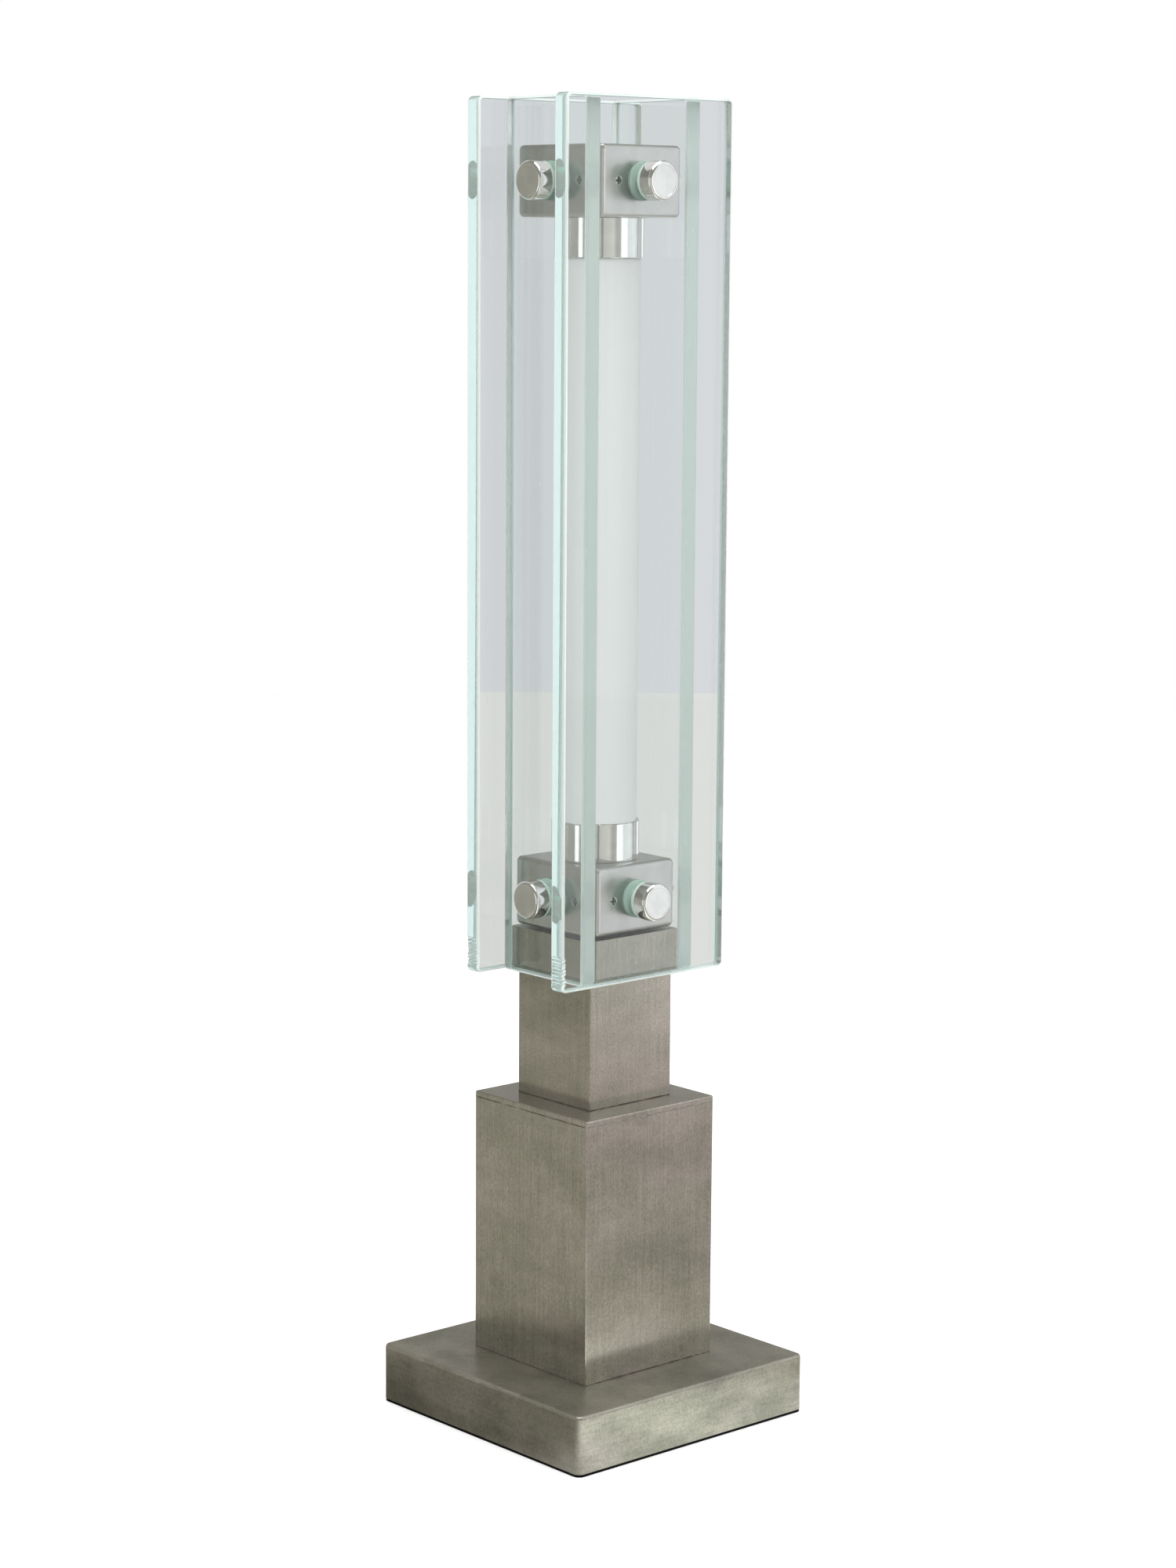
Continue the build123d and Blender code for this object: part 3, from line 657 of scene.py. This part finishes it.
def bridge(shape, first, second):
    """Smooth faces between two rings with the same number of vertices."""
    walls = []
    for n in range(len(first)):
        m = (n + 1) % len(first)
        wall = shape.faces.new((first[n], first[m], second[m], second[n]))
        wall.smooth = True
        walls.append(wall)
    return walls


def ring_edges(shape, ring):
    return [shape.edges.get((vert, ring[(n + 1) % len(ring)])) for n, vert in enumerate(ring)]


def fill_between(shape, *rings):
    """Flat faces over the area between an outer ring and the rings inside it."""
    edges = [edge for ring in rings for edge in ring_edges(shape, ring)]
    bmesh.ops.triangle_fill(shape, edges=edges, use_beauty=True, use_dissolve=False)


def lathe(shape, profile, origin, axis, closed=True):
    """Turns a profile of (radius, distance) points about a level axis."""
    origin, axis, up = Vector(origin), Vector(axis), Vector((0, 0, 1))
    across = axis.cross(up)
    rings = []
    for radius, distance in profile:
        centre = origin + axis * distance
        if radius == 0:
            rings.append([shape.verts.new(centre)])
            continue
        ring = []
        for step in range(RING_STEPS):
            angle = 2 * pi * step / RING_STEPS
            ring.append(shape.verts.new(centre + (up * cos(angle) + across * sin(angle)) * radius))
        rings.append(ring)
    pairs = list(zip(rings, rings[1:]))
    if closed:
        pairs.append((rings[-1], rings[0]))
    for first, second in pairs:
        if len(first) == len(second):
            bridge(shape, first, second)
            continue
        pole, ring = sorted((first, second), key=len)
        for n in range(RING_STEPS):
            shape.faces.new((pole[0], ring[n], ring[(n + 1) % RING_STEPS]))


def square_path(half, radius):
    """Points round a square with rounded corners, each with its outward direction."""
    points = []
    straight = half - radius
    count = max(2, int(2 * straight / PATH_STEP))
    for turn, (c, s) in enumerate(SIDES.values()):
        for n in range(count):
            slide = -straight + 2 * straight * n / count
            points.append((c * half - s * slide, s * half + c * slide, c, s))
        for n in range(CORNER_STEPS):
            angle = radians(90 * turn + 90 * n / CORNER_STEPS)
            points.append((c * straight - s * straight + radius * cos(angle),
                           s * straight + c * straight + radius * sin(angle), cos(angle), sin(angle)))
    return points


# ---------------------------------------------------------------- places taken from the frame

GLASS_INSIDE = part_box("pane_right")[0][0]
GLASS_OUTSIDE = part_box("pane_right")[1][0]
BLOCK_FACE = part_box("lower_block")[1][0]
WASHER_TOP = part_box("cap_washers")[1][0]
BASE_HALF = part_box("base_shell")[1][0]
BASE_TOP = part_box("base_shell")[1][2]
PEDESTAL_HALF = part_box("pedestal_tube")[1][0]
PEDESTAL_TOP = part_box("pedestal_tube")[1][2]
POST_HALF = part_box("post_tube")[1][0]
POST_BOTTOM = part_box("post_tube")[0][2]


def middle_height(node_name):
    low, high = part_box(node_name)
    return (low[2] + high[2]) / 2


HOLE_HEIGHTS = [middle_height(f"{level}_block_screws") for level in LEVELS]

# ---------------------------------------------------------------- glass plates

PANE_CORNER = 3 * MM
PANE_ARRIS = 1.2 * MM
PANE_HOLE = 6 * MM
HOLE_ARRIS = 0.5 * MM
HOLE_STEPS = 48
CHIP_HEIGHT = 17 * MM
CHIP_PITCH = 1.9 * MM
CHIP_DEPTH = 1.3 * MM
CHIP_FADE = 2 * MM
CHIP_SHARPNESS = 0.7
CHIP_POINTS = 6
CHIP_MIDDLE_SIZE = 0.6
CHIP_SIZE_SPREAD = 0.8
CHIP_NOISE = 700
PLATE_NOISE = 90

# How deep chips are at a plate's inner face, as a share of their depth at its outer face.
INNER_CHIPS = 0.25

# Rounding of an arris, as shares of its size: inset from the outline, and depth from the face.
ARRIS_SHAPE = ((1, 0), (0.42, 0.16), (0.16, 0.42), (0, 1))

# The edge profile's bands that have the end's finish, its sharp rings, and those of a drilled hole.
END_BANDS = (3, 4)
OUTLINE_CREASES = (3, 5)
HOLE_CREASES = (1, 2)

# Places of a plate's other finishes among its materials.
ARRIS_FINISH = 1
END_FINISH = 2


def arc_points(centre_u, centre_v, radius, start):
    """Points of a quarter circle."""
    angles = [radians(start + 90 * step / CORNER_STEPS) for step in range(CORNER_STEPS + 1)]
    return [(centre_u + radius * cos(angle), centre_v + radius * sin(angle)) for angle in angles]


def hole_points(centre_v, radius):
    angles = [2 * pi * step / HOLE_STEPS for step in range(HOLE_STEPS)]
    return [(radius * cos(angle), centre_v + radius * sin(angle)) for angle in angles]


def chip_points(half_u, bottom, inset, depth):
    """Points down the lowest stretch of a plate's front edge, where small chips bite into it."""
    start = bottom + PANE_CORNER + CHIP_HEIGHT
    height = start
    points = []
    while height > bottom + PANE_CORNER + CHIP_PITCH / 8:
        wave = abs(sin(pi * (height - bottom) / CHIP_PITCH)) ** CHIP_SHARPNESS
        varied = noise.noise(Vector((0, height * CHIP_NOISE, half_u * PLATE_NOISE)))
        size = CHIP_MIDDLE_SIZE + CHIP_SIZE_SPREAD * varied
        fade = min(1.0, (start - height) / CHIP_FADE)
        points.append((-(half_u - inset) + depth * wave * size * fade, height))
        height -= CHIP_PITCH / CHIP_POINTS
    return points


def pane_outline(half_u, bottom, top, inset, chip_depth):
    """Points (u, v) round a plate's outline, drawn in by an inset."""
    radius = PANE_CORNER - inset
    u = half_u - PANE_CORNER
    low_v = bottom + PANE_CORNER
    high_v = top - PANE_CORNER
    points = arc_points(u, low_v, radius, -90) + arc_points(u, high_v, radius, 0)
    points += arc_points(-u, high_v, radius, 90)
    if chip_depth:
        points += chip_points(half_u, bottom, inset, chip_depth)
    return points + arc_points(-u, low_v, radius, 180)


def edge_profile(thickness):
    """Insets and depths across a plate's edge: one arris, the flat part and the other arris."""
    arris = [(PANE_ARRIS * inset, PANE_ARRIS * depth) for inset, depth in ARRIS_SHAPE]
    other = [(inset, thickness - depth) for inset, depth in reversed(arris)]
    return arris + [(0, thickness / 2)] + other


def wall_up(shape, rings, end_bands=()):
    """Walls along a plate's edge or hole: ground glass, apart from the bands with the end's finish."""
    for band, (first, second) in enumerate(zip(rings, rings[1:])):
        for wall in bridge(shape, first, second):
            wall.material_index = END_FINISH if band in end_bands else ARRIS_FINISH


def crease(shape, rings):
    for ring in rings:
        for edge in ring_edges(shape, ring):
            edge.smooth = False


def build_pane(name, node_name, thick_axis, sign, chipped):
    """Clear plate with rounded corners, arrised edges and two drilled holes."""
    low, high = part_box(node_name)
    wide_axis = 1 - thick_axis
    half_u = (high[wide_axis] - low[wide_axis]) / 2
    inner = abs(low[thick_axis] if sign > 0 else high[thick_axis])
    thickness = high[thick_axis] - low[thick_axis]
    shape = bmesh.new()

    def ring(outline, depth):
        """Vertices at the points of an outline, at a depth from the plate's inner face."""
        made = []
        for u, v in outline:
            spot = [0.0, 0.0, v]
            spot[wide_axis] = u
            spot[thick_axis] = sign * (inner + depth)
            made.append(shape.verts.new(spot))
        return made

    outer = []
    for inset, depth in edge_profile(thickness):
        chips = INNER_CHIPS + (1 - INNER_CHIPS) * depth / thickness if chipped else 0
        outer.append(ring(pane_outline(half_u, low[2], high[2], inset, chips * CHIP_DEPTH), depth))
    drill = ((HOLE_ARRIS, 0), (0, HOLE_ARRIS), (0, thickness - HOLE_ARRIS), (HOLE_ARRIS, thickness))
    holes = [[ring(hole_points(centre, PANE_HOLE + extra), depth) for extra, depth in drill]
             for centre in HOLE_HEIGHTS]
    wall_up(shape, outer, END_BANDS)
    crease(shape, [outer[n] for n in OUTLINE_CREASES])
    for hole in holes:
        wall_up(shape, hole)
        crease(shape, [hole[n] for n in HOLE_CREASES])
    for face in (0, -1):
        fill_between(shape, outer[face], *[hole[face] for hole in holes])
    mesh = mesh_of(name, shape)
    add_piece(name, mesh, pane_glass, "clear_glass", node_name)
    mesh.materials.append(pane_arris)
    mesh.materials.append(wide_end if chipped else narrow_end)


build_pane("glass_plate_right", "pane_right", 0, 1, chipped=True)
build_pane("glass_plate_left", "pane_left", 0, -1, chipped=True)
build_pane("glass_plate_front", "pane_front", 1, -1, chipped=False)
build_pane("glass_plate_rear", "pane_rear", 1, 1, chipped=False)

# ---------------------------------------------------------------- washers and gaskets

CONTACT = 0.05 * MM
RING_ROUND = 0.35 * MM
STUD_BORE = 3.1 * MM


def ring_profile(bore, radius, start, end):
    """Section of a soft ring with rounded outer edges."""
    r = RING_ROUND
    cut = ROUNDED * r
    return [(bore, start), (radius - r, start), (radius - cut, start + cut), (radius, start + r),
            (radius, end - r), (radius - cut, end - cut), (radius - r, end), (bore, end)]


def build_rings(name, node_name, start, end, material, slot_name):
    """Eight soft rings, one on each stand-off, between two distances from the lamp's axis."""
    radius = HOLE_HEIGHTS[0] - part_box(node_name)[0][2]
    shape = bmesh.new()
    for x, y in SIDES.values():
        for height in HOLE_HEIGHTS:
            lathe(shape, ring_profile(STUD_BORE, radius, start, end), (0, 0, height), (x, y, 0))
    add_piece(name, smooth_mesh(name, shape), material, slot_name, node_name)


build_rings("washer_rings", "cap_washers", GLASS_OUTSIDE - CONTACT, WASHER_TOP, washer_soft, "soft_washer")
build_rings("gasket_rings", "pane_gaskets", BLOCK_FACE, GLASS_INSIDE + CONTACT, gasket_rubber, "gasket")

# ---------------------------------------------------------------- chrome caps

CAP_BORE = 3.05 * MM
CAP_BORE_DEPTH = 6 * MM
CAP_RIM = 1.9 * MM
CAP_FOOT_BEVEL = 0.35 * MM
CAP_MIDDLE_DEPTH = 0.06 * MM
RIM_STEPS = 8

# Fine turned step on a cap's face: distance in from the rounded rim, and depth below the rim's top.
CAP_TURNING = ((0.5 * MM, 0.02 * MM), (0.62 * MM, 0.10 * MM), (1.0 * MM, 0.10 * MM))


def cap_profile(radius, length):
    """Section of a cap from its bore to the middle of its face, with a rounded rim and a fine turned step."""
    profile = [(0, CAP_BORE_DEPTH), (CAP_BORE, CAP_BORE_DEPTH), (CAP_BORE, 0),
               (radius - CAP_FOOT_BEVEL, 0), (radius, CAP_FOOT_BEVEL), (radius, length - CAP_RIM)]
    inside = radius - CAP_RIM
    for step in range(1, RIM_STEPS + 1):
        angle = radians(90 * step / RIM_STEPS)
        profile.append((inside + CAP_RIM * cos(angle), length - CAP_RIM + CAP_RIM * sin(angle)))
    profile += [(inside - inset, length - depth) for inset, depth in CAP_TURNING]
    return profile + [(0, length - CAP_MIDDLE_DEPTH)]


def build_cap(side, level, height):
    x, y = SIDES[side]
    low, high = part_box(f"cap_{side}_{level}")
    radius = (high[2] - low[2]) / 2
    reach = max(abs(low[0] * x + low[1] * y), abs(high[0] * x + high[1] * y))
    shape = bmesh.new()
    foot = (x * WASHER_TOP, y * WASHER_TOP, height)
    lathe(shape, cap_profile(radius, reach - WASHER_TOP), foot, (x, y, 0), closed=False)
    mesh = smooth_mesh("chrome_cap", shape, angle=25)
    add_piece(f"chrome_cap_{side}_{level}", mesh, chrome, "chrome", f"cap_{side}_{level}")


for side in SIDES:
    for level, height in zip(LEVELS, HOLE_HEIGHTS):
        build_cap(side, level, height)

# ---------------------------------------------------------------- small block screws

SCREW_OFFSET = 16.5 * MM
SCREW_RADIUS = 1.5 * MM
SCREW_HEAD = 2.58 * MM
SCREW_SUNK = 0.28 * MM
SCREW_LENGTH = 8 * MM
SCREW_BEVEL = 0.15 * MM
RECESS_LONG = 1.95 * MM
RECESS_WIDE = 0.55 * MM
RECESS_DEPTH = 0.9 * MM
RECESS_TAPER = 0.8
SCREW_STEPS = 32
RECESS_SHADE_INDEX = 1


def cross_outline(long, wide):
    """Corners of a cross recess: three corners, repeated in four quarter turns."""
    corners = ((long, -wide), (long, wide), (wide, wide))
    return [(c * u - s * v, s * u + c * v) for c, s in SIDES.values() for u, v in corners]


def build_screw(shape, centre, outward):
    """Countersunk screw with a cross recess, from its face inwards."""
    out, across = Vector(outward), Vector((0, 0, 1))
    other = out.cross(across)
    centre = Vector(centre) - out * SCREW_SUNK

    def ring(outline, depth):
        return [shape.verts.new(centre - out * depth + across * u + other * v) for u, v in outline]

    def circle(radius, depth):
        angles = [2 * pi * n / SCREW_STEPS for n in range(SCREW_STEPS)]
        return ring([(radius * cos(angle), radius * sin(angle)) for angle in angles], depth)

    cross = cross_outline(RECESS_LONG, RECESS_WIDE)
    mouth = ring(cross, 0)
    bed = ring([(u * RECESS_TAPER, v * RECESS_TAPER) for u, v in cross], RECESS_DEPTH)
    rings = [circle(SCREW_HEAD - SCREW_BEVEL, 0),
             circle(SCREW_HEAD, SCREW_BEVEL),
             circle(SCREW_RADIUS, SCREW_HEAD - SCREW_RADIUS + SCREW_BEVEL),
             circle(SCREW_RADIUS, SCREW_LENGTH - SCREW_BEVEL)]
    for pair in zip(rings, rings[1:]):
        bridge(shape, *pair)
    shape.faces.new(rings[-1])
    # The recess walls and bed take the near-black painted shade.
    for wall in bridge(shape, mouth, bed):
        wall.material_index = RECESS_SHADE_INDEX
    shape.faces.new(bed).material_index = RECESS_SHADE_INDEX
    fill_between(shape, mouth, rings[0])


def build_small_screws(level, height):
    """Two screws on each face of one block."""
    shape = bmesh.new()
    for x, y in SIDES.values():
        for offset in (-SCREW_OFFSET, SCREW_OFFSET):
            centre = (x * BLOCK_FACE - y * offset, y * BLOCK_FACE + x * offset, height)
            build_screw(shape, centre, (x, y, 0))
    name = f"{level}_small_screws"
    mesh = smooth_mesh(name, shape)
    add_piece(name, mesh, chrome, "chrome", f"{level}_block_screws")
    mesh.materials.append(recess_painted_shade)


for level, height in zip(LEVELS, HOLE_HEIGHTS):
    build_small_screws(level, height)

# ---------------------------------------------------------------- joints and seams

SEAM_CORNER = 1.5 * MM
JOINT_WIDTH = 0.35 * MM
JOINT_HEIGHT = 0.45 * MM
JOINT_ROOT = 0.1 * MM
JOINT_STEPS = 5
JOINT_UNEVENNESS = 0.8
BEAD_RADIUS = 0.42 * MM
BEAD_INSET = 0.25 * MM
BEAD_STEPS = 8
BEAD_UNEVENNESS = 0.5
LUMP_NOISE = 160
FINE_LUMP_NOISE = 520
FINE_LUMP_SHARE = 0.6
FINE_LUMP_SHIFT = 7
LEVEL_NOISE = 90


def build_seam(name, half, height, section, unevenness, material):
    """A bead along a square: section lists (outward, upward) points; unevenness varies its size."""
    shape = bmesh.new()
    rings = []
    for x, y, out_x, out_y in square_path(half, SEAM_CORNER):
        lump = Vector((x * LUMP_NOISE, y * LUMP_NOISE, height * LEVEL_NOISE))
        fine = Vector((x * FINE_LUMP_NOISE, y * FINE_LUMP_NOISE, height * LEVEL_NOISE + FINE_LUMP_SHIFT))
        size = 1 + unevenness * (noise.noise(lump) + FINE_LUMP_SHARE * noise.noise(fine))
        rings.append([shape.verts.new((x + out_x * out * size, y + out_y * out * size, height + up * size))
                      for out, up in section])
    for first, second in zip(rings, rings[1:] + rings[:1]):
        bridge(shape, first, second)
    add_piece(name, smooth_mesh(name, shape, angle=60), material, "brushed_foot")


def joint_section():
    """Quarter-round section that fills the corner between an upright and a level face."""
    angles = [radians(90 * step / JOINT_STEPS) for step in range(JOINT_STEPS + 1)]
    return [(-JOINT_ROOT, -JOINT_ROOT)] + [(JOINT_WIDTH * cos(a), JOINT_HEIGHT * sin(a)) for a in angles]


def bead_section():
    angles = [2 * pi * n / BEAD_STEPS for n in range(BEAD_STEPS)]
    return [(BEAD_RADIUS * cos(a), BEAD_RADIUS * sin(a)) for a in angles]


build_seam("pedestal_foot_joint", PEDESTAL_HALF, BASE_TOP, joint_section(), JOINT_UNEVENNESS, joint_dark)
build_seam("post_foot_joint", POST_HALF, POST_BOTTOM, joint_section(), JOINT_UNEVENNESS, joint_dark)
build_seam("pedestal_top_seam", PEDESTAL_HALF - BEAD_INSET, PEDESTAL_TOP - BEAD_INSET, bead_section(),
           BEAD_UNEVENNESS, seam_steel)

# ---------------------------------------------------------------- pad under the foot

PAD_INSET = 0.15 * MM
PAD_CORNER = 4 * MM
PAD_BEVEL = 0.35 * MM


def build_pad():
    """Rubber pad with a rounded lower edge, almost as wide as the foot."""
    low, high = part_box("base_pad")
    cut = PAD_BEVEL * ROUNDED
    levels = ((PAD_BEVEL, low[2]), (cut, low[2] + cut), (0, low[2] + PAD_BEVEL), (0, high[2]))
    path = square_path(BASE_HALF - PAD_INSET, PAD_CORNER)
    shape = bmesh.new()
    rings = [[shape.verts.new((x - out_x * inset, y - out_y * inset, level))
              for x, y, out_x, out_y in path] for inset, level in levels]
    for first, second in zip(rings, rings[1:]):
        bridge(shape, first, second)
    shape.faces.new(rings[0])
    shape.faces.new(rings[-1])
    add_piece("rubber_pad", smooth_mesh("rubber_pad", shape), pad_felt, "pad", "base_pad")


build_pad()
